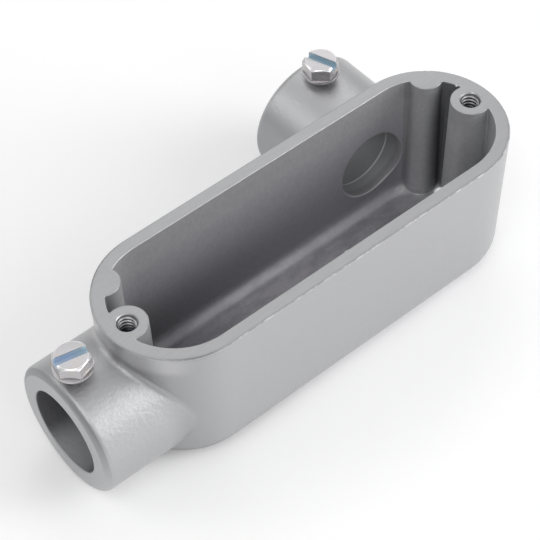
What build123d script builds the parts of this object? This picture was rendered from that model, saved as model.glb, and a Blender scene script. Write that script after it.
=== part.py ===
from build123d import *
from math import isclose, radians, sqrt, tan
import os

# Open conduit body with one hub on its end and one on its long side. Sizes in millimetres, angles in degrees.
# Origin at the centre of the flat base, +X away from the end hub, +Y towards the side hub, +Z out of the opening.

os.makedirs("parts", exist_ok=True)

# Box with round ends, drafted so that it narrows towards its base
box_length = 115.2
box_width = 39.0
box_height = 40.0
outer_draft = 1.7
base_round = 6.2
rim_outer_round = 0.5

# Chamber inside the box, drafted the same way
wall = 3.4
floor_thickness = 2.6
inner_draft = 1.2
chamber_round = 3.4
rim_inner_round = 0.25

# Hubs: plain round sockets with a stop shoulder, and a narrower throat on into the chamber
hub_diameter = 33.2
hub_lift = 0.1
hub_face_round = 2.0
hub_root_round = 1.6
end_hub_reach = 14.4
side_hub_reach = 22.3
side_hub_setback = 3.6
socket_diameter = 21.6
socket_mouth_chamfer = 0.3
end_socket_depth = 16.0
side_socket_depth = 20.8
throat_diameter = 18.8
throat_round = 0.4
shoulder_chamfer = 0.4

# Full-height columns on the chamber wall: a bored boss at each end for the cover screws, and two plain ribs
cover_screw_inset = 5.6
cover_boss_diameter = 9.8
cover_hole_diameter = 4.83
cover_hole_mouth_diameter = 5.4
cover_hole_depth = 13.0
rib_diameter = 8.4
rib_ring_radius = 17.0
rib_angle = 49.0
column_round = 0.3

# Slotted hex washer head set screws, each shown backed out of its hub by its own gap
screw_diameter = 4.8
screw_clearance = 0.05
screw_length = 6.4
screw_point_chamfer = 0.7
head_across_flats = 7.9
head_height = 3.5
head_top_diameter = 7.3
head_chamfer_angle = 30.0
washer_diameter = 9.3
washer_thickness = 0.9
washer_round = 0.3
slot_width = 1.7
slot_depth = 1.6
end_screw_inset = 5.0
end_screw_gap = 3.4
end_slot_angle = -12.0
side_screw_inset = 6.8
side_screw_gap = 1.4
side_slot_angle = 109.5

# Places worked out from the sizes
hub_radius = hub_diameter / 2
socket_radius = socket_diameter / 2
throat_radius = throat_diameter / 2
hub_axis_height = hub_radius + hub_lift
hub_top = hub_axis_height + hub_radius
arc_centre_x = (box_length - box_width) / 2
side_hub_x = arc_centre_x - side_hub_setback
cover_screw_x = box_length / 2 - cover_screw_inset
end_face_x = -box_length / 2 - end_hub_reach
side_face_y = box_width / 2 + side_hub_reach
end_screw_x = end_face_x + end_screw_inset
side_screw_y = side_face_y - side_screw_inset
chamber_depth = box_height - floor_thickness
screw_hole_radius = screw_diameter / 2 + screw_clearance
head_top = washer_thickness + head_height
head_top_radius = head_top_diameter / 2
corner_radius = head_across_flats / sqrt(3)
shoulder = head_top - (corner_radius - head_top_radius) * tan(radians(head_chamfer_angle))

rim_plane = Plane.XY.offset(box_height)
floor_plane = Plane.XY.offset(floor_thickness)
end_face_plane = Plane((end_face_x, 0, hub_axis_height), x_dir=(0, -1, 0), z_dir=(-1, 0, 0))
side_face_plane = Plane((side_hub_x, side_face_y, hub_axis_height), x_dir=(-1, 0, 0), z_dir=(0, 1, 0))
upright = (Align.CENTER, Align.CENTER, Align.MIN)


def column(top_diameter):
    """Cuts one full-height column out of the chamber, drafted wider towards the floor."""
    top_radius = top_diameter / 2
    floor_radius = top_radius + chamber_depth * tan(radians(inner_draft))
    Cone(floor_radius, top_radius, chamber_depth, align=upright, mode=Mode.SUBTRACT)


def steep(edge):
    """True for the long edges that run down the chamber wall on a curved line, as a column's corners do."""
    return edge.geom_type == GeomType.ELLIPSE and edge.length > chamber_depth / 2


def is_shoulder_edge(edge):
    """True for the round edge where a throat leaves its socket's shoulder."""
    return edge.geom_type == GeomType.CIRCLE and isclose(edge.radius, throat_radius)


# Chamber as one solid, to be taken out of the casting
with BuildPart() as chamber:
    with BuildSketch(floor_plane):
        SlotOverall(box_length - 2 * wall, box_width - 2 * wall)
    extrude(amount=chamber_depth)
    draft(chamber.faces().filter_by(Axis.Z, reverse=True), rim_plane, -inner_draft)
    fillet(chamber.faces().sort_by(Axis.Z)[0].edges(), chamber_round)
    with Locations((-cover_screw_x, 0, floor_thickness), (cover_screw_x, 0, floor_thickness)):
        column(cover_boss_diameter)
    with Locations((-arc_centre_x, 0, floor_thickness)):
        with PolarLocations(rib_ring_radius, 1, start_angle=180 - rib_angle):
            column(rib_diameter)
    with Locations((arc_centre_x, 0, floor_thickness)):
        with PolarLocations(rib_ring_radius, 1, start_angle=rib_angle):
            column(rib_diameter)
    fillet(chamber.edges().filter_by(steep), column_round)


# One-piece casting
with BuildPart() as body_casting:
    with BuildSketch():
        SlotOverall(box_length, box_width)
    extrude(amount=box_height)
    draft(body_casting.faces().filter_by(Axis.Z, reverse=True), rim_plane, -outer_draft)
    fillet(body_casting.faces().sort_by(Axis.Z)[0].edges(), base_round)

    # Hubs run into the box as far as its arc centre and its middle plane, with a round where they meet it
    with BuildSketch(end_face_plane):
        Circle(hub_radius)
    extrude(amount=end_face_x + arc_centre_x)
    fillet(body_casting.edges(Select.NEW), hub_root_round)
    with BuildSketch(side_face_plane):
        Circle(hub_radius)
    extrude(amount=-side_face_y)
    fillet(body_casting.edges(Select.NEW), hub_root_round)
    fillet(body_casting.faces().sort_by(Axis.X)[0].edges(), hub_face_round)
    fillet(body_casting.faces().sort_by(Axis.Y)[-1].edges(), hub_face_round)

    add(chamber.part, mode=Mode.SUBTRACT)

    # Sockets, stop shoulders and throats
    with Locations(end_face_plane):
        CounterBoreHole(throat_radius, socket_radius, end_socket_depth, -end_face_x - arc_centre_x)
    with Locations(side_face_plane):
        CounterBoreHole(throat_radius, socket_radius, side_socket_depth, side_face_y)
    throat_edges = body_casting.edges(Select.NEW).filter_by(GeomType.LINE, reverse=True)
    fillet(throat_edges.filter_by_position(Axis.Y, 0, box_width / 2), throat_round)
    chamfer(body_casting.edges().filter_by(is_shoulder_edge), shoulder_chamfer)
    for face in (body_casting.faces().sort_by(Axis.X)[0], body_casting.faces().sort_by(Axis.Y)[-1]):
        chamfer(face.inner_wires().edges(), socket_mouth_chamfer)

    # Rounded edges of the rim
    rim_face = body_casting.faces().filter_by(Axis.Z).sort_by(Axis.Z)[-1]
    fillet(rim_face.outer_wire().edges(), rim_outer_round)
    rim_face = body_casting.faces().filter_by(Axis.Z).sort_by(Axis.Z)[-1]
    fillet(rim_face.inner_wires().edges(), rim_inner_round)

    # Cover screw holes, at the outer diameter of their thread
    with Locations(rim_plane):
        with Locations((-cover_screw_x, 0), (cover_screw_x, 0)):
            CounterSinkHole(cover_hole_diameter / 2, cover_hole_mouth_diameter / 2, cover_hole_depth, 90)

    # Set screw holes through the top of each hub
    with Locations((end_screw_x, 0, hub_top), (side_hub_x, side_screw_y, hub_top)):
        Hole(screw_hole_radius, hub_radius)

body_casting.part.label = "body_casting"
export_step(body_casting.part, "parts/body_casting.step")


# Set screws: the seat plane holds the underside of the washer, and its X runs along the driver slot
screw_seats = {
    "end_hub_screw": Plane((end_screw_x, 0, hub_top + end_screw_gap)).rotated((0, 0, end_slot_angle)),
    "side_hub_screw": Plane((side_hub_x, side_screw_y, hub_top + side_screw_gap)).rotated((0, 0, side_slot_angle)),
}
for name, seat in screw_seats.items():
    with BuildPart() as set_screw:
        # Hex head, cut to the turned profile that chamfers its corners
        with BuildSketch(seat):
            RegularPolygon(head_across_flats / 2, 6, major_radius=False, rotation=30)
        extrude(amount=head_top)
        with BuildSketch(Plane(seat.origin, x_dir=seat.x_dir, z_dir=-seat.y_dir)):
            with BuildLine():
                corners = [(0, 0), (corner_radius, 0), (corner_radius, shoulder), (head_top_radius, head_top)]
                Polyline(*corners, (0, head_top), close=True)
            make_face()
        revolve(axis=Axis(seat.origin, seat.z_dir), mode=Mode.INTERSECT)

        # Driver slot, through the middles of two flats
        with BuildSketch(seat.offset(head_top)):
            Rectangle(washer_diameter, slot_width)
        extrude(amount=-slot_depth, mode=Mode.SUBTRACT)

        # Washer under the head, rounded at its lower edge
        with BuildSketch(seat):
            Circle(washer_diameter / 2)
        extrude(amount=washer_thickness)
        fillet(set_screw.faces().sort_by(Axis.Z)[0].edges(), washer_round)

        # Shank with a chamfered point
        with BuildSketch(seat):
            Circle(screw_diameter / 2)
        extrude(amount=-screw_length)
        chamfer(set_screw.faces().sort_by(Axis.Z)[0].edges(), screw_point_chamfer)

    set_screw.part.label = name
    export_step(set_screw.part, f"parts/{name}.step")
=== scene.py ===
"""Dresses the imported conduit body: cast finish, threads, set screws, casting marks and a plain studio."""
import math
from types import SimpleNamespace

import bmesh
import bpy
import numpy as np
from mathutils import Euler, Matrix, Vector


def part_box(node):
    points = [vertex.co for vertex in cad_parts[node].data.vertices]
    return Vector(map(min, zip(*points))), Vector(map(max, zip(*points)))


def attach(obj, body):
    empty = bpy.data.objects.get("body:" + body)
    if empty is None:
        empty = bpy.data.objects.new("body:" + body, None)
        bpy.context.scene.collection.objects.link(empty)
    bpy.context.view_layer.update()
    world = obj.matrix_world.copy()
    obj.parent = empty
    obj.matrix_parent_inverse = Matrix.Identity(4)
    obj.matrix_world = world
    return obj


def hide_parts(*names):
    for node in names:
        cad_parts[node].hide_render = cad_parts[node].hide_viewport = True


bl_info = {
    "name": "Conduit Body Dressing",
    "version": (1, 0, 0),
    "blender": (4, 5, 0),
    "location": "3D View > Sidebar > Conduit Body",
    "description": "Finishes a die-cast conduit body, its threads and its set screws, and sets up a studio",
    "category": "Object",
}

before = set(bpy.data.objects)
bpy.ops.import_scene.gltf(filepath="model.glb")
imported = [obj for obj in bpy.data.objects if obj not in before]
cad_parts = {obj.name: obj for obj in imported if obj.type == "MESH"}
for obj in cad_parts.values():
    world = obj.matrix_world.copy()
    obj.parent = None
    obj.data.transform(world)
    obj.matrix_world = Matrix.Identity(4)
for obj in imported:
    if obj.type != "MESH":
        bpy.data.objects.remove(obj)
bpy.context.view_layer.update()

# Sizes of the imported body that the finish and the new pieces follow, in millimetres and radians. The wall's
# middle and the outer radius are measured from the line between the centres of the round ends
RIM_HEIGHT = 40.0
ARC_CENTRE_X = 38.1
WALL_MIDDLE = 17.8
OUTER_RADIUS = 19.5
COVER_HOLE_X = 52.0
HUB_HEIGHT = 16.7
END_FACE_X = -72.0
SIDE_HUB_X = 34.5
SIDE_SHOULDER_Y = 21.0
SOCKET_RADIUS = 10.8
THROAT_RADIUS = 9.4
RIB_RING_RADIUS = 17.0
RIB_ANGLE = math.radians(49.0)

MM = 0.001


def mm(value):
    """Millimetres as metres."""
    return value * MM


# Centre and half sizes in millimetres, turn in degrees and unevenness of each lump: on the chamber side of
# the rim, beside the far cover screw boss, and at the foot of that boss
CASTING_MARKS = (
    ((26.4, -16.25, 39.32), (1.35, 1.15, 0.62), 4.0, 0.10),
    ((-2.0, -16.2, 39.55), (0.6, 0.45, 0.4), 0.0, 0.12),
    ((53.2, 6.1, 39.6), (0.55, 0.4, 0.35), 40.0, 0.2),
    ((54.2, 5.3, 39.5), (0.5, 0.35, 0.4), -30.0, 0.2),
    ((54.2, -4.5, 4.1), (1.15, 1.0, 1.1), 20.0, 0.16),
)

# Node, body, angle of the driver slot in degrees and colour of the first end of the slot of each set screw
SET_SCREWS = (
    ("end_hub_screw", "end_screw", -12.0, "blue"),
    ("side_hub_screw", "side_screw", 109.5, "teal"),
)

# Name, azimuth from +X and elevation in degrees, width in metres and power in watts of each soft lamp
STUDIO_LAMPS = (
    ("key", -45.0, 12.0, 0.55, 4.0),
    ("key_high", -45.0, 36.0, 0.55, 1.7),
    ("front", -90.0, 36.0, 0.55, 0.83),
    ("camera_side", -144.0, 60.0, 0.55, 1.44),
    ("rear_left", 135.0, 36.0, 0.55, 0.91),
    ("rear_high", 72.0, 60.0, 0.55, 0.65),
    ("rear_right", 45.0, 36.0, 0.55, 0.77),
)


# Settings


class CastingSettings(bpy.types.PropertyGroup):
    """Finish of the die-cast body."""

    colour: bpy.props.FloatVectorProperty(
        name="Metal", description="Colour of the clean cast aluminium", subtype="COLOR",
        size=3, min=0.0, max=1.0, default=(0.485, 0.487, 0.495))
    chamber_colour: bpy.props.FloatVectorProperty(
        name="Chamber", description="Colour of the metal in the middle of the chamber", subtype="COLOR",
        size=3, min=0.0, max=1.0, default=(0.515, 0.507, 0.538))
    # Lighter colour for the ends of the chamber and the sockets, also mixed in as painted light high on the
    # chamber walls
    lighter_inner_colour: bpy.props.FloatVectorProperty(
        name="Lighter", description="Colour of the metal in the ends of the chamber and in the sockets",
        subtype="COLOR", size=3, min=0.0, max=1.0, default=(0.60, 0.605, 0.615))
    # Dark colour mixed in as painted shade in the chamber, the bores, the roots of the cover threads and on
    # shaded sides outside, as darker tone on the rim's sanding lines, the mottled floor and the seam, and as
    # a slight darkening of the whole rim
    shade_and_tone_colour: bpy.props.FloatVectorProperty(
        name="Darkening", description="Colour of the dark film on sheltered metal", subtype="COLOR",
        size=3, min=0.0, max=1.0, default=(0.04, 0.04, 0.05))
    # Bright colour for painted highlights on edges, fillets, lit walls and the crests of the cover threads,
    # and for bare metal on the burrs
    highlight_and_bare_metal_colour: bpy.props.FloatVectorProperty(
        name="Highlight Edge", description="Colour of the bare metal on rubbed edges and burrs", subtype="COLOR",
        size=3, min=0.0, max=1.0, default=(0.82, 0.82, 0.83))
    roughness: bpy.props.FloatProperty(
        name="Roughness", description="Roughness of the cast skin", subtype="FACTOR",
        min=0.0, max=1.0, default=0.45)
    metallic: bpy.props.FloatProperty(
        name="Metallic", description="How metallic the cast skin looks", subtype="FACTOR",
        min=0.0, max=1.0, default=0.9)
    chamber_roughness: bpy.props.FloatProperty(
        name="Chamber Roughness", description="Roughness of the skin inside the chamber and the sockets",
        subtype="FACTOR", min=0.0, max=1.0, default=0.62)
    chamber_metallic: bpy.props.FloatProperty(
        name="Chamber Metallic", description="How metallic the skin of chamber and sockets looks",
        subtype="FACTOR", min=0.0, max=1.0, default=0.7)
    grain_size: bpy.props.FloatProperty(
        name="Grain Size", description="Size of the fine grain of the cast skin", unit="LENGTH",
        min=mm(0.05), max=mm(5.0), default=mm(0.45), precision=5)
    grain_height: bpy.props.FloatProperty(
        name="Grain Height", description="Height of the fine grain", unit="LENGTH",
        min=0.0, max=mm(0.2), default=mm(0.026), precision=6)


class ThreadSettings(bpy.types.PropertyGroup):
    """Thread of the cover screw holes and of the set screws."""

    pitch: bpy.props.FloatProperty(
        name="Pitch", description="Distance from one turn of thread to the next", unit="LENGTH",
        min=mm(0.3), max=mm(3.0), default=mm(1.058), precision=5)
    root_radius: bpy.props.FloatProperty(
        name="Hole Root", description="Radius of the cover screw holes at the root of their thread",
        unit="LENGTH", min=mm(1.0), max=mm(5.0), default=mm(2.415), precision=5)
    crest_radius: bpy.props.FloatProperty(
        name="Hole Crest", description="Radius of the cover screw holes at the crest of their thread",
        unit="LENGTH", min=mm(1.0), max=mm(5.0), default=mm(1.92), precision=5)
    countersink: bpy.props.FloatProperty(
        name="Countersink", description="Depth of the countersink of the cover screw holes", unit="LENGTH",
        min=0.0, max=mm(2.0), default=mm(0.285), precision=6)
    start: bpy.props.FloatProperty(
        name="Start", description="Direction in which the thread of the cover screw holes starts",
        subtype="ANGLE", default=math.radians(216.0))
    hole_depth: bpy.props.FloatProperty(
        name="Hole Depth", description="Depth of the cover screw holes", unit="LENGTH",
        min=mm(2.0), max=mm(30.0), default=mm(13.0), precision=5)


class ScrewSettings(bpy.types.PropertyGroup):
    """Finish and small shapes of the set screws."""

    colour: bpy.props.FloatVectorProperty(
        name="Plating", description="Colour of the zinc plating", subtype="COLOR",
        size=3, min=0.0, max=1.0, default=(0.49, 0.482, 0.495))
    warm_colour: bpy.props.FloatVectorProperty(
        name="Warm Tint", description="Colour of the plating where its passivation turns warm",
        subtype="COLOR", size=3, min=0.0, max=1.0, default=(0.50, 0.475, 0.472))
    slot_colour: bpy.props.FloatVectorProperty(
        name="Slot", description="Colour of the blue passivation in the driver slot of the end screw",
        subtype="COLOR", size=3, min=0.0, max=1.0, default=(0.46, 0.57, 0.72))
    slot_end_colour: bpy.props.FloatVectorProperty(
        name="Slot End", description="Colour of that slot's other end, and of the side screw's slot",
        subtype="COLOR", size=3, min=0.0, max=1.0, default=(0.40, 0.52, 0.60))
    # Dark colour of shank and thread, painted shade in the gap under the washers
    shank_shade_colour: bpy.props.FloatVectorProperty(
        name="Thread", description="Colour of the shaded thread of the shank", subtype="COLOR",
        size=3, min=0.0, max=1.0, default=(0.16, 0.16, 0.17))
    roughness: bpy.props.FloatProperty(
        name="Roughness", description="Roughness of the plating", subtype="FACTOR",
        min=0.0, max=1.0, default=0.28)
    # Painted highlight on the chamfer of the heads
    chamfer_highlight_colour: bpy.props.FloatVectorProperty(
        name="Bright Edge", description="Colour of the highlighted chamfer of the heads", subtype="COLOR",
        size=3, min=0.0, max=1.0, default=(0.9, 0.89, 0.9))
    edge_width: bpy.props.FloatProperty(
        name="Edge Width", description="Width of the rounded edges of the heads", unit="LENGTH",
        min=0.0, max=mm(0.5), default=mm(0.2), precision=6)
    head_height: bpy.props.FloatProperty(
        name="Head Height", description="Height of head and washer together", unit="LENGTH",
        min=mm(1.0), max=mm(10.0), default=mm(4.4), precision=5)
    top_radius: bpy.props.FloatProperty(
        name="Top Radius", description="Radius of the flat top of the head, inside its chamfer",
        unit="LENGTH", min=mm(1.0), max=mm(10.0), default=mm(3.8), precision=5)
    slot_width: bpy.props.FloatProperty(
        name="Slot Width", description="Width of the driver slot before its walls are moved", unit="LENGTH",
        min=mm(0.3), max=mm(4.0), default=mm(1.7), precision=5)
    slot_spread: bpy.props.FloatProperty(
        name="Slot Spread", description="How far each wall of the driver slot is moved out", unit="LENGTH",
        min=0.0, max=mm(1.0), default=mm(0.18), precision=5)
    slot_depth: bpy.props.FloatProperty(
        name="Slot Depth", description="Depth of the driver slot", unit="LENGTH",
        min=mm(0.3), max=mm(4.0), default=mm(1.6), precision=5)
    core_radius: bpy.props.FloatProperty(
        name="Core Radius", description="Radius of the shank at the root of its thread", unit="LENGTH",
        min=mm(0.5), max=mm(5.0), default=mm(1.9), precision=5)
    crest_radius: bpy.props.FloatProperty(
        name="Crest Radius", description="Radius of the shank at the crest of its thread", unit="LENGTH",
        min=mm(0.5), max=mm(5.0), default=mm(2.38), precision=5)


class StudioSettings(bpy.types.PropertyGroup):
    """Camera, floor and lights."""

    azimuth: bpy.props.FloatProperty(
        name="Azimuth", description="Direction of the camera round the body", subtype="ANGLE",
        default=math.radians(-38.4797))
    elevation: bpy.props.FloatProperty(
        name="Elevation", description="Height angle of the camera", subtype="ANGLE",
        default=math.radians(50.4393))
    roll: bpy.props.FloatProperty(
        name="Roll", description="Turn of the camera about its own line of sight", subtype="ANGLE",
        default=math.radians(-1.8941))
    distance: bpy.props.FloatProperty(
        name="Distance", description="Distance from the camera to the point it looks at",
        unit="LENGTH", min=0.05, max=5.0, default=0.419222, precision=6)
    lens: bpy.props.FloatProperty(
        name="Lens", description="Focal length in millimetres on a 36 mm sensor",
        min=10.0, max=400.0, default=124.82)
    target: bpy.props.FloatVectorProperty(
        name="Target", description="Point the camera looks at", subtype="TRANSLATION", unit="LENGTH",
        size=3, default=(mm(-18.710), mm(-9.111), mm(40.0)))
    floor_colour: bpy.props.FloatVectorProperty(
        name="Floor", description="Colour of the floor", subtype="COLOR",
        size=3, min=0.0, max=1.0, default=(0.97, 0.97, 0.97))
    floor_glow: bpy.props.FloatProperty(
        name="Floor Glow", description="Light that the floor gives off by itself",
        min=0.0, max=1.0, default=0.08)
    room_light: bpy.props.FloatProperty(
        name="Room Light", description="Strength of the even light from all round",
        min=0.0, max=5.0, default=0.507)
    lamp_distance: bpy.props.FloatProperty(
        name="Lamp Distance", description="Distance of the lamps from the body", unit="LENGTH",
        min=0.3, max=5.0, default=1.0)


# Shapes worked out with numpy


def mesh_object(name, points, faces, material, smooth=True):
    """A mesh object from an array of points and a list of index arrays, one for each number of corners."""
    data = bpy.data.meshes.new(name)
    data.from_pydata(points.reshape(-1, 3), [], [face for group in faces for face in group.tolist()])
    data.polygons.foreach_set("use_smooth", np.full(len(data.polygons), smooth))
    data.materials.append(material)
    data.update()
    made = bpy.data.objects.new(name, data)
    bpy.context.scene.collection.objects.link(made)
    return made


def tube_faces(rings, corners):
    """Quads between neighbouring rings of a tube, and one polygon over each end."""
    ring = np.arange(rings - 1)[:, None] * corners
    corner = np.arange(corners)[None, :]
    following = (corner + 1) % corners
    beyond = ring + corners
    quads = np.stack([ring + corner, ring + following, beyond + following, beyond + corner], -1)
    first = np.arange(corners)[::-1][None, :]
    last = (rings - 1) * corners + corner
    return [quads.reshape(-1, 4), first, last]


def thread_ridge(centre, top, bottom, wall_radius, crest_radius, pitch, start=0.0, countersink=None):
    """Points and faces of one right-handed ridge of thread wound round an upright axis.

    The two parameters are the turn angle along the helix and the place round the ridge's section. The
    section is a trapezoid: 0.86 of a pitch wide where it sinks into the wall, and an eighth of a pitch
    wide at its crest. The height falls by one pitch a turn from the start angle on, clockwise as seen
    from above, and the crest sinks back to the wall over a quarter of a turn at each end. The section
    runs downwards in a hole and upwards on a shank, so that all faces look outwards. Above the height
    where a countersink begins, the ridge is cut back to its cone of 45 degrees.
    """
    steps_a_turn = 72
    fading_turns = 0.25
    end_inset = 0.45
    sink = mm(0.06)
    cone_gap = mm(0.01)
    cone_sink = mm(0.05)

    sunk = wall_radius + math.copysign(sink, wall_radius - crest_radius)
    turns = (top - bottom) / pitch - 2 * end_inset
    count = int(round(turns * steps_a_turn)) + 1
    along = np.linspace(0.0, turns, count)
    fade = np.clip(np.minimum(along, turns - along) / fading_turns, 0.02, 1.0)
    crest = wall_radius + (crest_radius - wall_radius) * fade
    half_widths = np.array([-0.43, -0.375, -0.0625, 0.0625, 0.375, 0.43])
    half_widths = half_widths * math.copysign(pitch, crest_radius - wall_radius)
    sunk_share = np.array([1.0, 0.0, 0.0, 0.0, 0.0, 1.0])
    crest_share = np.array([0.0, 0.0, 1.0, 1.0, 0.0, 0.0])
    radius = (wall_radius + (sunk - wall_radius) * sunk_share)[None, :]
    radius = radius + (crest - wall_radius)[:, None] * crest_share[None, :]
    angle = start - along * 2 * math.pi
    height = (top - end_inset * pitch - along * pitch)[:, None] + half_widths[None, :]
    if countersink is not None:
        cone = wall_radius + height - countersink
        radius = np.maximum(radius, cone + cone_gap + cone_sink * sunk_share[None, :])
    points = np.stack([
        centre[0] + radius * np.cos(angle)[:, None],
        centre[1] + radius * np.sin(angle)[:, None],
        height,
    ], -1)
    return points, tube_faces(count, len(half_widths))


def turned(centre, profile, steps=48):
    """Points and faces of a closed solid turned about an upright axis.

    The two parameters are the angle and the place along the profile, whose rows are radius and height and
    run from the axis at the bottom to the axis at the top.
    """
    angle = np.linspace(0.0, 2 * math.pi, steps, endpoint=False)
    profile = np.asarray(profile)
    radius = profile[:, 0][:, None]
    points = np.stack([
        centre[0] + radius * np.cos(angle)[None, :],
        centre[1] + radius * np.sin(angle)[None, :],
        np.repeat(profile[:, 1][:, None], steps, axis=1),
    ], -1)
    return points, tube_faces(len(profile), steps)


def lump(centre, size, turn, unevenness, phase, rows=14, columns=28):
    """Points and faces of a small uneven lump.

    The two parameters are latitude and longitude on an ellipsoid of the given half sizes, turned about Z.
    Its reach from its upright axis is multiplied by one plus three small waves of longitude and latitude.
    """
    highest = math.pi / 2 - 0.05
    latitude = np.linspace(-highest, highest, rows)[:, None]
    longitude = np.linspace(0.0, 2 * math.pi, columns, endpoint=False)[None, :]
    wave = np.sin(3 * longitude + phase) + 0.7 * np.sin(5 * longitude + 2.1 * phase) * np.cos(2 * latitude)
    swell = 1.0 + unevenness * (wave + 0.5 * np.sin(7 * longitude - phase) * np.sin(3 * latitude)) / 2.2
    across = np.cos(latitude) * np.cos(longitude) * swell * size[0]
    deep = np.cos(latitude) * np.sin(longitude) * swell * size[1]
    high = np.sin(latitude) * np.ones_like(longitude) * size[2]
    points = np.stack([
        centre[0] + across * math.cos(turn) - deep * math.sin(turn),
        centre[1] + across * math.sin(turn) + deep * math.cos(turn),
        centre[2] + high,
    ], -1)
    return points, tube_faces(rows, columns)


def reshape_head(data, centre, top, slot_angle, settings):
    """Gives a head its wider flat top and wider driver slot.

    Each wall of the slot moves out by the slot's spread. A vertex on the edge of the flat top moves out
    to the top's radius, beside the slot along the slot's direction and elsewhere straight out. Any other
    vertex of the chamfer is set below the top by three quarters of its distance beyond that radius.
    """
    chamfer_depth = mm(0.56)
    packed_flat_radius = mm(3.6)
    level = mm(0.005)
    near = mm(0.02)
    chamfer_fall = 0.75

    places = np.empty(len(data.vertices) * 3)
    data.vertices.foreach_get("co", places)
    places = places.reshape(-1, 3)
    height = places[:, 2]
    cosine, sine = math.cos(slot_angle), math.sin(slot_angle)
    east, north = places[:, 0] - centre[0], places[:, 1] - centre[1]
    along = east * cosine + north * sine
    across = north * cosine - east * sine
    radius = np.hypot(along, across)
    outer = (height > top - chamfer_depth) & (radius > packed_flat_radius)
    edge = outer & (height > top - level)
    half = settings.slot_width / 2
    wall = (np.abs(np.abs(across) - half) < near) & (height > top - settings.slot_depth - near)
    grown = np.where(edge & ~wall, settings.top_radius / np.maximum(radius, mm(0.1)), 1.0)
    across = np.where(wall, np.sign(across) * (half + settings.slot_spread), across * grown)
    reach = np.sqrt(np.maximum(settings.top_radius ** 2 - across ** 2, 0.0)) * np.sign(along)
    along = np.where(edge & wall, reach, along * grown)
    fall = chamfer_fall * np.maximum(np.hypot(along, across) - settings.top_radius, 0.0)
    places[:, 0] = centre[0] + along * cosine - across * sine
    places[:, 1] = centre[1] + along * sine + across * cosine
    places[:, 2] = np.where(outer & ~edge, top - fall, height)
    data.vertices.foreach_set("co", places.ravel())


def dressed_head(node, centre, top, slot_angle, settings, plating):
    """A copy of a packed screw's head and washer, reshaped, cut off its shank and given rounded edges."""
    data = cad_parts[node].data.copy()
    data.name = node + "_head"
    reshape_head(data, centre, top, slot_angle, settings)
    shape = bmesh.new()
    shape.from_mesh(data)
    bmesh.ops.remove_doubles(shape, verts=shape.verts, dist=mm(0.002))
    bmesh.ops.bisect_plane(
        shape, geom=shape.verts[:] + shape.edges[:] + shape.faces[:],
        plane_co=(0, 0, top - settings.head_height + mm(0.001)), plane_no=(0, 0, 1), clear_inner=True)
    bmesh.ops.holes_fill(shape, edges=[edge for edge in shape.edges if edge.is_boundary], sides=0)
    bmesh.ops.dissolve_limit(shape, angle_limit=math.radians(1.0), verts=shape.verts, edges=shape.edges)
    bmesh.ops.recalc_face_normals(shape, faces=shape.faces)
    shape.to_mesh(data)
    shape.free()
    data.materials.clear()
    data.materials.append(plating)
    data.polygons.foreach_set("use_smooth", np.ones(len(data.polygons), bool))

    head = bpy.data.objects.new(node + "_head", data)
    bpy.context.scene.collection.objects.link(head)
    rounding = head.modifiers.new("Rounded edges", "BEVEL")
    rounding.width = settings.edge_width
    rounding.segments = 3
    rounding.limit_method = "ANGLE"
    rounding.angle_limit = math.radians(25.0)
    rounding.harden_normals = True
    return head


def shank_profile(tip, seat, core_radius):
    """Radius and height along the core of a shank, from its chamfered tip up into the washer."""
    point_chamfer = mm(0.35)
    into_washer = mm(0.4)
    axis = mm(0.01)
    return [
        (axis, tip),
        (core_radius - point_chamfer, tip),
        (core_radius, tip + point_chamfer),
        (core_radius, seat + into_washer),
        (axis, seat + into_washer),
    ]


# Parts that node materials are built from


def new_material(name):
    """An empty node material with a Principled shader, its node tree and that shader."""
    material = bpy.data.materials.new(name)
    material.use_nodes = True
    tree = material.node_tree
    tree.nodes.clear()
    output = tree.nodes.new("ShaderNodeOutputMaterial")
    shader = tree.nodes.new("ShaderNodeBsdfPrincipled")
    tree.links.new(shader.outputs["BSDF"], output.inputs["Surface"])
    return material, tree, shader


def place_texture(tree):
    """Object coordinates, in metres."""
    return tree.nodes.new("ShaderNodeTexCoord").outputs["Object"]


def stretched(tree, place, scale, turn=0.0):
    """Coordinates scaled along each axis and then turned about Z."""
    node = tree.nodes.new("ShaderNodeMapping")
    tree.links.new(place, node.inputs["Vector"])
    node.inputs["Rotation"].default_value = (0.0, 0.0, turn)
    node.inputs["Scale"].default_value = scale
    return node.outputs["Vector"]


def axes_of(tree, place):
    """The three coordinates of a place."""
    node = tree.nodes.new("ShaderNodeSeparateXYZ")
    tree.links.new(place, node.inputs["Vector"])
    return node.outputs


def noise(tree, place, size, detail=3.0, roughness=0.6):
    """Noise whose features are about one size across."""
    node = tree.nodes.new("ShaderNodeTexNoise")
    tree.links.new(place, node.inputs["Vector"])
    node.inputs["Scale"].default_value = 1.0 / size
    node.inputs["Detail"].default_value = detail
    node.inputs["Roughness"].default_value = roughness
    return node.outputs["Fac"]


def ramp(tree, value, start, end):
    """Zero at start, one at end, smooth between them. End may be below start."""
    node = tree.nodes.new("ShaderNodeMapRange")
    node.interpolation_type = "SMOOTHSTEP"
    tree.links.new(value, node.inputs["Value"])
    node.inputs["From Min"].default_value = start
    node.inputs["From Max"].default_value = end
    return node.outputs["Result"]


def maths(tree, operation, first, second=None):
    """One maths node. A number or a socket may stand for each input."""
    node = tree.nodes.new("ShaderNodeMath")
    node.operation = operation
    for socket, value in zip(node.inputs, (first, second)):
        if value is None:
            continue
        if isinstance(value, (int, float)):
            socket.default_value = value
        else:
            tree.links.new(value, socket)
    return node.outputs["Value"]


def product(tree, *shares):
    """All shares multiplied together."""
    result = shares[0]
    for share in shares[1:]:
        result = maths(tree, "MULTIPLY", result, share)
    return result


def opposite(tree, share):
    """One minus a share."""
    return maths(tree, "SUBTRACT", 1.0, share)


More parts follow.
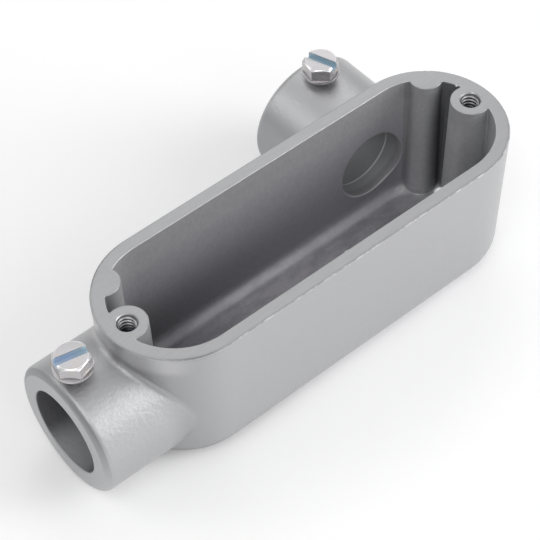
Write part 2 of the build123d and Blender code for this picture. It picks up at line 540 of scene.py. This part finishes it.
def either(tree, first, second):
    """The larger of two shares."""
    return maths(tree, "MAXIMUM", first, second)


def hypotenuse(tree, first, second):
    """Distance from the point where both numbers are zero."""
    squares = maths(tree, "ADD", product(tree, first, first), product(tree, second, second))
    return maths(tree, "SQRT", squares)


def along_and_across(tree, x, y, angle):
    """Distances along and across a line through the origin that stands at an angle from X."""
    cosine, sine = math.cos(angle), math.sin(angle)
    along = maths(tree, "ADD", maths(tree, "MULTIPLY", x, cosine), maths(tree, "MULTIPLY", y, sine))
    across = maths(tree, "SUBTRACT", maths(tree, "MULTIPLY", y, cosine), maths(tree, "MULTIPLY", x, sine))
    return along, across


def band(tree, value, start, end, soft):
    """One from start to end, zero outside, with soft sides."""
    rise = ramp(tree, value, start - soft / 2, start + soft / 2)
    fall = ramp(tree, value, end + soft / 2, end - soft / 2)
    return maths(tree, "MULTIPLY", rise, fall)


def mix_number(tree, share, first, second):
    """A number between two numbers."""
    return maths(tree, "ADD", first, maths(tree, "MULTIPLY", share, second - first))


def mix_colour(tree, share, first, second):
    """A colour between two colours, each a tuple or a socket."""
    node = tree.nodes.new("ShaderNodeMix")
    node.data_type = "RGBA"
    tree.links.new(share, node.inputs["Factor"])
    sockets = [socket for socket in node.inputs if socket.type == "RGBA"]
    for socket, value in zip(sockets, (first, second)):
        if isinstance(value, bpy.types.NodeSocket):
            tree.links.new(value, socket)
        else:
            socket.default_value = (*value, 1.0)
    return next(socket for socket in node.outputs if socket.type == "RGBA")


def bump(tree, height, distance, normal=None):
    """A bump from a height between 0 and 1 and its real distance."""
    node = tree.nodes.new("ShaderNodeBump")
    node.inputs["Strength"].default_value = 1.0
    node.inputs["Distance"].default_value = distance
    tree.links.new(height, node.inputs["Height"])
    if normal is not None:
        tree.links.new(normal, node.inputs["Normal"])
    return node.outputs["Normal"]


# Cast metal of the body, whose zones have their limits in millimetres


def casting_places(tree, place):
    """Coordinates of a point of the casting, and its distances from what the finish follows."""
    x, y, z = axes_of(tree, stretched(tree, place, (1 / MM, 1 / MM, 1 / MM)))
    along = maths(tree, "ABSOLUTE", x)
    past_centre = maths(tree, "MAXIMUM", maths(tree, "SUBTRACT", along, ARC_CENTRE_X), 0.0)
    above_axis = maths(tree, "SUBTRACT", z, HUB_HEIGHT)
    rib_x = maths(tree, "SUBTRACT", x, ARC_CENTRE_X + RIB_RING_RADIUS * math.cos(RIB_ANGLE))
    rib_y = maths(tree, "SUBTRACT", y, RIB_RING_RADIUS * math.sin(RIB_ANGLE))
    return SimpleNamespace(
        x=x, y=y, z=z, along=along,
        below_rim=maths(tree, "SUBTRACT", RIM_HEIGHT, z),
        outward=hypotenuse(tree, past_centre, y),
        from_end_hub=hypotenuse(tree, y, above_axis),
        from_side_hub=hypotenuse(tree, maths(tree, "SUBTRACT", x, SIDE_HUB_X), above_axis),
        from_hole=hypotenuse(tree, maths(tree, "SUBTRACT", along, COVER_HOLE_X), y),
        from_rib=hypotenuse(tree, rib_x, rib_y),
        across_rib=along_and_across(tree, rib_x, rib_y, RIB_ANGLE)[1],
    )


def casting_zones(tree, at):
    """Zones of the casting's surface, each of them one inside and zero outside."""
    in_box = ramp(tree, at.outward, WALL_MIDDLE + 0.6, WALL_MIDDLE - 0.6)
    chamber = product(tree, in_box, ramp(tree, at.below_rim, 0.1, 0.6))
    end_bore = ramp(tree, at.from_end_hub, SOCKET_RADIUS + 0.2, SOCKET_RADIUS + 0.1)
    side_bore = ramp(tree, at.from_side_hub, SOCKET_RADIUS + 0.2, SOCKET_RADIUS + 0.1)
    in_throat = ramp(tree, at.from_side_hub, THROAT_RADIUS + 0.55, THROAT_RADIUS + 0.4)
    past_wall = ramp(tree, at.y, 18.0, 20.0)
    end_socket = product(tree, end_bore, ramp(tree, at.x, -40.0, -44.0))
    side_socket = product(tree, side_bore, ramp(tree, at.y, 15.0, 17.0), either(tree, in_throat, past_wall))
    sockets = either(tree, end_socket, side_socket)
    inside = either(tree, chamber, sockets)
    rim = ramp(tree, at.below_rim, 0.08, 0.03)
    outside = opposite(tree, either(tree, inside, rim))
    at_outer_face = ramp(tree, at.outward, OUTER_RADIUS - 0.5, OUTER_RADIUS - 0.35)
    return SimpleNamespace(
        chamber=chamber, end_socket=end_socket, side_socket=side_socket, sockets=sockets,
        inside=inside, rim=rim, outside=outside,
        floor=product(tree, in_box, ramp(tree, at.z, 5.0, 3.4)),
        rim_edge=product(tree, band(tree, at.below_rim, 0.07, 0.32, 0.06), at_outer_face),
        box_wall=product(tree, outside, ramp(tree, at.outward, OUTER_RADIUS + 4.0, OUTER_RADIUS + 0.1)),
    )


def shade_and_mottling_in_chamber(tree, at, zone, flow, speckle):
    """Zones of the chamber, each with the share of its colour that is darkened: painted shade on the walls,
    beside the bosses, at the floor's near end and on the rib's and far boss's flanks, and darker tone in
    random specks and floor mottling.
    """
    chamber = zone.chamber
    # Painted shade: the lower walls (more towards the near end), the high walls, beside the bosses, the
    # floor's near end, the rib's flanks and the far boss's flank
    low_wall = product(tree, chamber, ramp(tree, at.z, 27.0, 9.0), ramp(tree, at.outward, 14.2, 15.4))
    high_wall = product(tree, chamber, ramp(tree, at.z, 32.0, 37.0))
    beside_boss = product(
        tree, chamber, ramp(tree, at.outward, 12.5, 15.6), ramp(tree, at.along, 45.0, 48.0),
        ramp(tree, at.y, 4.0, 6.0))
    near_floor_end = product(tree, zone.floor, ramp(tree, at.x, -6.0, -34.0))
    rib = product(tree, chamber, ramp(tree, at.from_rib, 5.7, 5.3))
    rib_towards_boss = product(
        tree, rib, ramp(tree, at.across_rib, 0.6, -3.0), ramp(tree, at.z, 38.0, 27.0))
    rib_other_flank = product(tree, rib, ramp(tree, at.across_rib, 2.4, 3.8))
    far_boss_flank = product(
        tree, chamber, ramp(tree, at.from_hole, 6.3, 5.9), ramp(tree, at.x, 40.0, 44.0),
        ramp(tree, at.y, -0.5, -3.6), ramp(tree, at.z, 35.0, 22.0))
    # Darker tone at random: specks in the chamber and mottling on the floor
    speckled = product(tree, chamber, ramp(tree, speckle, 0.35, 0.65))
    mottled_floor = product(tree, zone.floor, ramp(tree, flow, 0.42, 0.64))
    return [
        (low_wall, mix_number(tree, ramp(tree, at.x, 34.0, -40.0), 0.19, 0.54)),
        (high_wall, 0.10),
        (beside_boss, mix_number(tree, ramp(tree, at.x, -10.0, 10.0), 0.38, 0.62)),
        (near_floor_end, 0.46),
        (rib_towards_boss, 0.42),
        (rib_other_flank, 0.22),
        (far_boss_flank, 0.16),
        (speckled, 0.07),
        (mottled_floor, 0.20),
    ]


def painted_shade_in_bores(tree, at, zone):
    """Zones of the sockets and the cover screw holes, each with the share of its colour taken by painted
    shade: the end socket except near its bottom, the side socket more past its shoulder and under its roof,
    and the cover holes more with depth.
    """
    throat_roof = product(tree, zone.side_socket, ramp(tree, at.z, 16.0, 25.5))
    cover_hole = product(tree, ramp(tree, at.from_hole, 2.75, 2.6), ramp(tree, at.below_rim, 0.02, 0.1))
    past_shoulder = ramp(tree, at.y, SIDE_SHOULDER_Y - 0.1, SIDE_SHOULDER_Y + 0.1)
    return [
        (zone.end_socket, mix_number(tree, ramp(tree, at.z, 5.6, 10.2), 0.22, 0.76)),
        (zone.side_socket, mix_number(tree, past_shoulder, 0.30, 0.36)),
        (throat_roof, 0.52),
        (cover_hole, mix_number(tree, ramp(tree, at.below_rim, 0.25, 2.5), 0.28, 0.88)),
    ]


def shade_and_tone_outside(tree, at, zone, sanding):
    """Zones of the rim and of the outer skin, each with the share of its colour that is darkened: the whole
    rim a little; darker tone on its sanding lines and on the seam under the near end; and painted shade on
    the rim's outer round, the near end wall, the side hub's flank and the round of the end hub's face.
    """
    near_seam = product(
        tree, band(tree, at.below_rim, 0.9, 1.1, 0.1),
        ramp(tree, at.outward, OUTER_RADIUS - 0.5, OUTER_RADIUS - 0.3), ramp(tree, at.x, -36.0, -44.0))
    # Painted shade on the near end wall, on the side hub's flank and in the round of the end hub's face
    near_wall = product(tree, zone.box_wall, ramp(tree, at.x, -38.0, -50.0), ramp(tree, at.y, 2.0, -8.0))
    side_hub_flank = product(tree, zone.outside, ramp(tree, at.y, 20.0, 23.0), ramp(tree, at.x, 22.5, 19.5))
    end_hub_round = product(
        tree, band(tree, at.x, END_FACE_X + 0.03, END_FACE_X + 1.1, 0.1),
        band(tree, at.from_end_hub, 14.9, 16.5, 0.1), ramp(tree, at.z, 12.0, 26.0))
    return [
        (zone.rim, 0.11),
        (product(tree, zone.rim, ramp(tree, sanding, 0.45, 0.7)), 0.07),
        # Painted shade that dulls the rim's outer round, more at the near end
        (zone.rim_edge, mix_number(tree, ramp(tree, at.x, -38.0, -46.0), 0.36, 0.45)),
        (near_seam, 0.14),
        (near_wall, 0.15),
        (side_hub_flank, 0.20),
        (end_hub_round, 0.32),
    ]


def painted_highlights_and_marks(tree, place, at, zone, flow):
    """Share of the bright colour in each zone: painted highlights on the floor's fillet, the throat's mouth
    and shoulder, the wall above the end hub, the side hub and the inner rim edge, a painted highlight along
    the outer rim edge broken up like worn metal, and a bright rough patch at the rib's foot.
    """
    chamber_foot = product(
        tree, zone.floor, band(tree, at.outward, 12.7, 14.9, 0.8), ramp(tree, at.z, 5.0, 4.3),
        mix_number(tree, ramp(tree, at.x, -38.0, 0.0), 0.06, 0.26))
    throat_mouth = product(
        tree, band(tree, at.from_side_hub, THROAT_RADIUS + 0.08, THROAT_RADIUS + 0.4, 0.08),
        band(tree, at.y, 14.0, 17.0, 0.2), mix_number(tree, ramp(tree, at.z, 15.0, 9.0), 0.12, 0.7))
    throat_shoulder = product(
        tree, band(tree, at.from_side_hub, THROAT_RADIUS - 0.05, THROAT_RADIUS + 0.45, 0.1),
        band(tree, at.y, SIDE_SHOULDER_Y - 0.75, SIDE_SHOULDER_Y + 0.2, 0.1), 0.85)
    rib_foot_x = maths(tree, "SUBTRACT", at.x, 42.7)
    rib_foot_y = maths(tree, "MULTIPLY", maths(tree, "SUBTRACT", at.y, 13.3), 1.8)
    rib_foot = product(
        tree, zone.floor, ramp(tree, hypotenuse(tree, rib_foot_x, rib_foot_y), 2.0, 1.0),
        ramp(tree, flow, 0.40, 0.55), 0.5)
    above_end_hub = product(
        tree, zone.box_wall, ramp(tree, at.z, 33.0, 36.0), ramp(tree, at.x, -46.0, -53.0), 0.35)
    side_hub_skin = product(
        tree, zone.outside, ramp(tree, at.y, 20.0, 24.0), ramp(tree, at.x, 20.0, 24.0), 0.12)
    inner_rim_edge = product(
        tree, band(tree, at.below_rim, 0.02, 0.24, 0.04), band(tree, at.outward, 15.9, 16.36, 0.06), 0.5)
    outer_rim_edge = product(
        tree, zone.rim_edge, ramp(tree, at.x, -46.0, -36.0), ramp(tree, at.y, 6.0, -4.0),
        ramp(tree, noise(tree, place, mm(3.0), 5.0, 0.75), 0.46, 0.60), 0.35)
    return [
        chamber_foot, throat_mouth, throat_shoulder, rib_foot, above_end_hub, side_hub_skin, inner_rim_edge,
        outer_rim_edge,
    ]


def cast_relief(tree, place, zone, sanding, settings):
    """Relief of the skin: a slow swell, the pebbled grain, and on the rim fine sanding lines."""
    skin = opposite(tree, zone.rim)
    swell = noise(tree, place, settings.grain_size * 2.2, 2.0, 0.55)
    grain = noise(tree, place, settings.grain_size)
    normal = bump(tree, product(tree, swell, skin), settings.grain_height * 3)
    normal = bump(tree, product(tree, grain, skin), settings.grain_height, normal)
    return bump(tree, product(tree, sanding, zone.rim), mm(0.008), normal)


def cast_metal(settings):
    """Satin cast aluminium: fine grain, a sanded rim, painted light high in the chamber, painted shade and
    darker tone, and painted highlights on edges, fillets and lit walls.
    """
    material, tree, shader = new_material("cast_aluminium")
    place = place_texture(tree)
    at = casting_places(tree, place)
    zone = casting_zones(tree, at)
    flow = noise(tree, stretched(tree, place, (0.35, 1.0, 1.0)), mm(3.2), 6.0, 0.62)
    sanding = noise(tree, stretched(tree, place, (0.05, 1.0, 1.0), math.radians(28.0)), mm(0.3))
    speckle = noise(tree, place, mm(1.1))
    patch = noise(tree, place, mm(1.2))

    # Share of the metal's colour left after painted shade and darker tone
    undarkened = 1.0
    darkened_zones = shade_and_mottling_in_chamber(tree, at, zone, flow, speckle)
    darkened_zones += painted_shade_in_bores(tree, at, zone)
    darkened_zones += shade_and_tone_outside(tree, at, zone, sanding)
    for darkened, share in darkened_zones:
        undarkened = maths(tree, "MULTIPLY", undarkened, opposite(tree, maths(tree, "MULTIPLY", darkened, share)))

    # Colours: the skin, painted light high in the chamber, painted shade and darker tone over it, and painted
    # highlights and bright marks
    # Painted light: the upper chamber walls lean towards the lighter inner colour, which the ends of the
    # chamber and the sockets also take
    painted_light_high_in_chamber = maths(tree, "MULTIPLY", ramp(tree, at.z, 24.0, 36.0), 0.6)
    interior = either(tree, either(tree, zone.sockets, ramp(tree, at.along, 43.0, 46.0)), painted_light_high_in_chamber)
    inner = mix_colour(tree, interior, tuple(settings.chamber_colour), tuple(settings.lighter_inner_colour))
    colour = mix_colour(tree, zone.inside, tuple(settings.colour), inner)
    colour = mix_colour(tree, undarkened, tuple(settings.shade_and_tone_colour), colour)
    for brightened in painted_highlights_and_marks(tree, place, at, zone, flow):
        colour = mix_colour(tree, brightened, colour, tuple(settings.highlight_and_bare_metal_colour))
    tree.links.new(colour, shader.inputs["Base Color"])

    # Gloss: slightly patchy, and duller on the rim's edge
    metallic = mix_number(tree, zone.inside, settings.metallic, settings.chamber_metallic)
    rough = mix_number(tree, zone.inside, settings.roughness - 0.05, settings.chamber_roughness - 0.05)
    rough = maths(tree, "ADD", rough, maths(tree, "MULTIPLY", patch, 0.10))
    rough = maths(tree, "ADD", rough, maths(tree, "MULTIPLY", zone.rim_edge, 0.18))
    tree.links.new(metallic, shader.inputs["Metallic"])
    tree.links.new(rough, shader.inputs["Roughness"])
    tree.links.new(cast_relief(tree, place, zone, sanding, settings), shader.inputs["Normal"])
    return material


# Other materials


def tapped_metal(casting, thread):
    """Cut thread in the cover screw holes: painted highlights on the crests over painted shade in the roots,
    darker with depth.
    """
    material, tree, shader = new_material("tapped_aluminium")
    x, y, z = axes_of(tree, place_texture(tree))
    beyond_hole = maths(tree, "SUBTRACT", maths(tree, "ABSOLUTE", x), mm(COVER_HOLE_X))
    from_hole = hypotenuse(tree, beyond_hole, y)
    crest = ramp(tree, from_hole, thread.crest_radius + mm(0.30), thread.crest_radius + mm(0.08))
    lit = product(tree, mix_number(tree, crest, 0.10, 0.64), ramp(tree, z, mm(35.0), mm(38.4)))
    colour = mix_colour(tree, lit, tuple(casting.shade_and_tone_colour), tuple(casting.highlight_and_bare_metal_colour))
    tree.links.new(colour, shader.inputs["Base Color"])
    shader.inputs["Metallic"].default_value = 0.9
    shader.inputs["Roughness"].default_value = 0.4
    return material


def burr_metal(casting):
    """Rough bright metal of the small flashes that the die left, brighter towards the rim."""
    material, tree, shader = new_material("cast_burr")
    place = place_texture(tree)
    height = axes_of(tree, place)[2]
    share = product(tree, ramp(tree, height, mm(20.0), mm(30.0)), 0.55)
    colour = mix_colour(tree, share, tuple(casting.chamber_colour), tuple(casting.highlight_and_bare_metal_colour))
    tree.links.new(colour, shader.inputs["Base Color"])
    shader.inputs["Metallic"].default_value = casting.metallic
    shader.inputs["Roughness"].default_value = casting.roughness
    tree.links.new(bump(tree, noise(tree, place, mm(0.3)), mm(0.03)), shader.inputs["Normal"])
    return material


def plated_steel(settings, name, centre, top, slot_angle, slot_colours):
    """Bright zinc plating with faint warm tints, a painted highlight on the chamfer and a blue film in the
    driver slot.
    """
    material, tree, shader = new_material(name)
    place = place_texture(tree)
    x, y, z = axes_of(tree, place)
    from_x = maths(tree, "SUBTRACT", x, centre[0])
    from_y = maths(tree, "SUBTRACT", y, centre[1])
    from_axis = hypotenuse(tree, from_x, from_y)
    along_slot, across_slot = along_and_across(tree, from_x, from_y, slot_angle)
    half = settings.slot_width / 2 + settings.slot_spread
    slot_floor = top - settings.slot_depth
    slot = product(
        tree, ramp(tree, maths(tree, "ABSOLUTE", across_slot), half + mm(0.05), half + mm(0.02)),
        ramp(tree, z, top - mm(0.12), top - mm(0.3)),
        ramp(tree, z, slot_floor - mm(0.12), slot_floor - mm(0.06)))
    # Painted highlight on the chamfer
    chamfer = product(
        tree, ramp(tree, from_axis, settings.top_radius - mm(0.12), settings.top_radius + mm(0.03)),
        ramp(tree, z, top - mm(0.5), top - mm(0.38)))
    tint = ramp(tree, noise(tree, place, mm(2.5), 2.0, 0.55), 0.45, 0.65)
    film = mix_colour(tree, ramp(tree, along_slot, mm(-0.5), mm(2.6)), *slot_colours)
    colour = mix_colour(tree, tint, tuple(settings.colour), tuple(settings.warm_colour))
    colour = mix_colour(tree, chamfer, colour, tuple(settings.chamfer_highlight_colour))
    colour = mix_colour(tree, slot, colour, film)
    marks = noise(tree, place, mm(0.6), 2.0, 0.5)
    rough = mix_number(tree, slot, settings.roughness - 0.03, 0.45)
    rough = maths(tree, "ADD", rough, maths(tree, "MULTIPLY", marks, 0.06))
    tree.links.new(colour, shader.inputs["Base Color"])
    tree.links.new(mix_number(tree, slot, 1.0, 0.35), shader.inputs["Metallic"])
    tree.links.new(rough, shader.inputs["Roughness"])
    tree.links.new(bump(tree, marks, mm(0.003)), shader.inputs["Normal"])
    return material


def shaded_thread(settings):
    """Dark shanks and threads: painted shade in the gap under the washers."""
    material, _, shader = new_material("shaded_thread")
    shader.inputs["Base Color"].default_value = (*settings.shank_shade_colour, 1.0)
    shader.inputs["Metallic"].default_value = 0.9
    shader.inputs["Roughness"].default_value = 0.35
    return material


def floor_paper(settings):
    """Matt pale paper that gives off a little light."""
    material, _, shader = new_material("floor_paper")
    shader.inputs["Base Color"].default_value = (*settings.floor_colour, 1.0)
    shader.inputs["Roughness"].default_value = 0.9
    shader.inputs["Emission Color"].default_value = (1.0, 1.0, 1.0, 1.0)
    shader.inputs["Emission Strength"].default_value = settings.floor_glow
    return material


# Camera and lamps


def camera_turn(azimuth, elevation, roll):
    """The direction from the point looked at back to the camera, and the turn of the camera."""
    flat = math.cos(elevation)
    back = Vector((math.sin(azimuth) * flat, -math.cos(azimuth) * flat, math.sin(elevation)))
    level = (-back).cross(Vector((0, 0, 1))).normalized()
    above = level.cross(-back)
    right = math.cos(roll) * level + math.sin(roll) * above
    up = -math.sin(roll) * level + math.cos(roll) * above
    return back, Matrix((right, up, back)).transposed().to_4x4()


def add_camera(scene, studio):
    """A camera at the photograph's viewing angle."""
    data = bpy.data.cameras.new("camera")
    data.lens = studio.lens
    data.sensor_width = 36.0
    data.clip_start = 0.01
    data.clip_end = 20.0
    camera = bpy.data.objects.new("camera", data)
    scene.collection.objects.link(camera)
    scene.camera = camera
    back, turn = camera_turn(studio.azimuth, studio.elevation, studio.roll)
    camera.matrix_world = Matrix.Translation(Vector(studio.target) + back * studio.distance) @ turn


def add_room_light(scene, studio):
    """Even white light from all round."""
    world = bpy.data.worlds.new("room")
    world.use_nodes = True
    room = world.node_tree.nodes["Background"]
    room.inputs["Color"].default_value = (1.0, 1.0, 1.0, 1.0)
    room.inputs["Strength"].default_value = studio.room_light
    scene.world = world


def add_lamp(scene, distance, name, azimuth, elevation, width, power):
    """A round soft lamp that faces the body from an azimuth and an elevation in degrees."""
    light = bpy.data.lights.new(name, "AREA")
    light.shape = "DISK"
    light.size = width
    light.energy = power
    lamp = bpy.data.objects.new(name, light)
    scene.collection.objects.link(lamp)
    turn = Euler((0.0, math.radians(90.0 - elevation), math.radians(azimuth))).to_matrix()
    lamp.matrix_world = Matrix.Translation(turn @ Vector((0, 0, distance))) @ turn.to_4x4()


# Operators


class CONDUIT_OT_finish_casting(bpy.types.Operator):
    """Gives the cast body its metal"""

    bl_idname = "conduit.finish_casting"
    bl_label = "Finish Casting"

    def execute(self, context):
        """Puts the cast metal into the material slots of the body."""
        metal = cast_metal(context.scene.conduit_casting)
        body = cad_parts["body_casting"]
        if not body.material_slots:
            body.data.materials.append(metal)
        for slot in body.material_slots:
            slot.material = metal
        return {"FINISHED"}


class CONDUIT_OT_add_cover_threads(bpy.types.Operator):
    """Winds the threads of the two cover screw holes"""

    bl_idname = "conduit.add_cover_threads"
    bl_label = "Add Cover Threads"

    def execute(self, context):
        """One ridge of thread in each hole, from its countersink to its bottom."""
        thread = context.scene.conduit_threads
        metal = tapped_metal(context.scene.conduit_casting, thread)
        hole_x, rim = mm(COVER_HOLE_X), mm(RIM_HEIGHT)
        for name, centre_x in (("cover_thread_near", -hole_x), ("cover_thread_far", hole_x)):
            points, faces = thread_ridge(
                (centre_x, 0.0), rim - mm(0.08), rim - thread.hole_depth + mm(0.3), thread.root_radius,
                thread.crest_radius, thread.pitch, thread.start, rim - thread.countersink)
            ridge = mesh_object(name, points, faces, metal, smooth=False)
            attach(ridge, "body")
        return {"FINISHED"}


class CONDUIT_OT_add_casting_marks(bpy.types.Operator):
    """Adds the small flashes and burrs that the die left on the casting"""

    bl_idname = "conduit.add_casting_marks"
    bl_label = "Add Casting Marks"

    def execute(self, context):
        """Uneven lumps, all on one piece, each sunk partly into the casting."""
        metal = burr_metal(context.scene.conduit_casting)
        points, groups, count = [], [], 0
        for number, (centre, size, turn, unevenness) in enumerate(CASTING_MARKS):
            some, faces = lump(
                Vector(centre) * MM, Vector(size) * MM, math.radians(turn), unevenness, phase=1.7 * number)
            points.append(some.reshape(-1, 3))
            groups += [face + count for face in faces]
            count += len(points[-1])
        marks = mesh_object("casting_marks", np.concatenate(points), groups, metal)
        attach(marks, "body")
        return {"FINISHED"}


class CONDUIT_OT_add_set_screws(bpy.types.Operator):
    """Makes the two set screws, with rounded edges and threaded shanks"""

    bl_idname = "conduit.add_set_screws"
    bl_label = "Add Set Screws"

    def execute(self, context):
        """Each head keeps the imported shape, gets rounded edges, and stands on a new threaded shank."""
        screw = context.scene.conduit_screws
        thread = context.scene.conduit_threads
        # Shanks painted dark as shade in the gap under the washers
        dark = shaded_thread(screw)
        slot_film = {"blue": tuple(screw.slot_colour), "teal": tuple(screw.slot_end_colour)}
        for node, body, slot_degrees, first_colour in SET_SCREWS:
            low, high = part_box(node)
            centre = ((low.x + high.x) / 2, (low.y + high.y) / 2)
            tip, top = low.z, high.z
            seat = top - screw.head_height
            slot_angle = math.radians(slot_degrees)
            slot_colours = (slot_film[first_colour], slot_film["teal"])
            plating = plated_steel(screw, node + "_plating", centre, top, slot_angle, slot_colours)
            head = dressed_head(node, centre, top, slot_angle, screw, plating)
            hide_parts(node)
            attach(head, body)

            points, faces = turned(centre, shank_profile(tip, seat, screw.core_radius))
            shank = mesh_object(node + "_shank", points, faces, dark, smooth=False)
            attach(shank, body)

            points, faces = thread_ridge(
                centre, seat + mm(0.1), tip + mm(0.1), screw.core_radius, screw.crest_radius, thread.pitch)
            ridge = mesh_object(node + "_thread", points, faces, dark, smooth=False)
            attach(ridge, body)
        return {"FINISHED"}


class CONDUIT_OT_set_studio(bpy.types.Operator):
    """Makes the camera, floor and soft lights"""

    bl_idname = "conduit.set_studio"
    bl_label = "Set Studio"

    def execute(self, context):
        """The camera stands at the photograph's viewing angle, over a plain pale floor."""
        studio = context.scene.conduit_studio
        scene = context.scene
        scene.view_settings.view_transform = "Standard"
        add_camera(scene, studio)

        half_size = 1.5
        height = mm(-0.05)
        corners = np.array([(-1, -1), (1, -1), (1, 1), (-1, 1)]) * half_size
        points = np.column_stack([corners, np.full(4, height)])
        floor = mesh_object("floor", points, [np.array([[0, 1, 2, 3]])], floor_paper(studio), smooth=False)

        add_room_light(scene, studio)
        for lamp in STUDIO_LAMPS:
            add_lamp(scene, studio.lamp_distance, *lamp)
        return {"FINISHED"}


class CONDUIT_PT_panel(bpy.types.Panel):
    """Lists the steps in the sidebar."""

    bl_idname = "CONDUIT_PT_panel"
    bl_label = "Conduit Body"
    bl_space_type = "VIEW_3D"
    bl_region_type = "UI"
    bl_category = "Conduit Body"

    def draw(self, context):
        """One button for each step."""
        for operator in OPERATORS:
            self.layout.operator(operator.bl_idname)


OPERATORS = (
    CONDUIT_OT_finish_casting,
    CONDUIT_OT_add_cover_threads,
    CONDUIT_OT_add_casting_marks,
    CONDUIT_OT_add_set_screws,
    CONDUIT_OT_set_studio,
)
SETTINGS = {
    "conduit_casting": CastingSettings,
    "conduit_threads": ThreadSettings,
    "conduit_screws": ScrewSettings,
    "conduit_studio": StudioSettings,
}


def register():
    """Makes the settings, operators and panel known to Blender."""
    for name, group in SETTINGS.items():
        bpy.utils.register_class(group)
        setattr(bpy.types.Scene, name, bpy.props.PointerProperty(type=group))
    for operator in OPERATORS:
        bpy.utils.register_class(operator)
    bpy.utils.register_class(CONDUIT_PT_panel)


def unregister():
    """Takes them out again."""
    bpy.utils.unregister_class(CONDUIT_PT_panel)
    for operator in reversed(OPERATORS):
        bpy.utils.unregister_class(operator)
    for name, group in reversed(SETTINGS.items()):
        delattr(bpy.types.Scene, name)
        bpy.utils.unregister_class(group)


def main():
    """Runs every step in order."""
    register()
    bpy.ops.conduit.finish_casting()
    bpy.ops.conduit.add_cover_threads()
    bpy.ops.conduit.add_casting_marks()
    bpy.ops.conduit.add_set_screws()
    bpy.ops.conduit.set_studio()


if __name__ == "__main__":
    main()
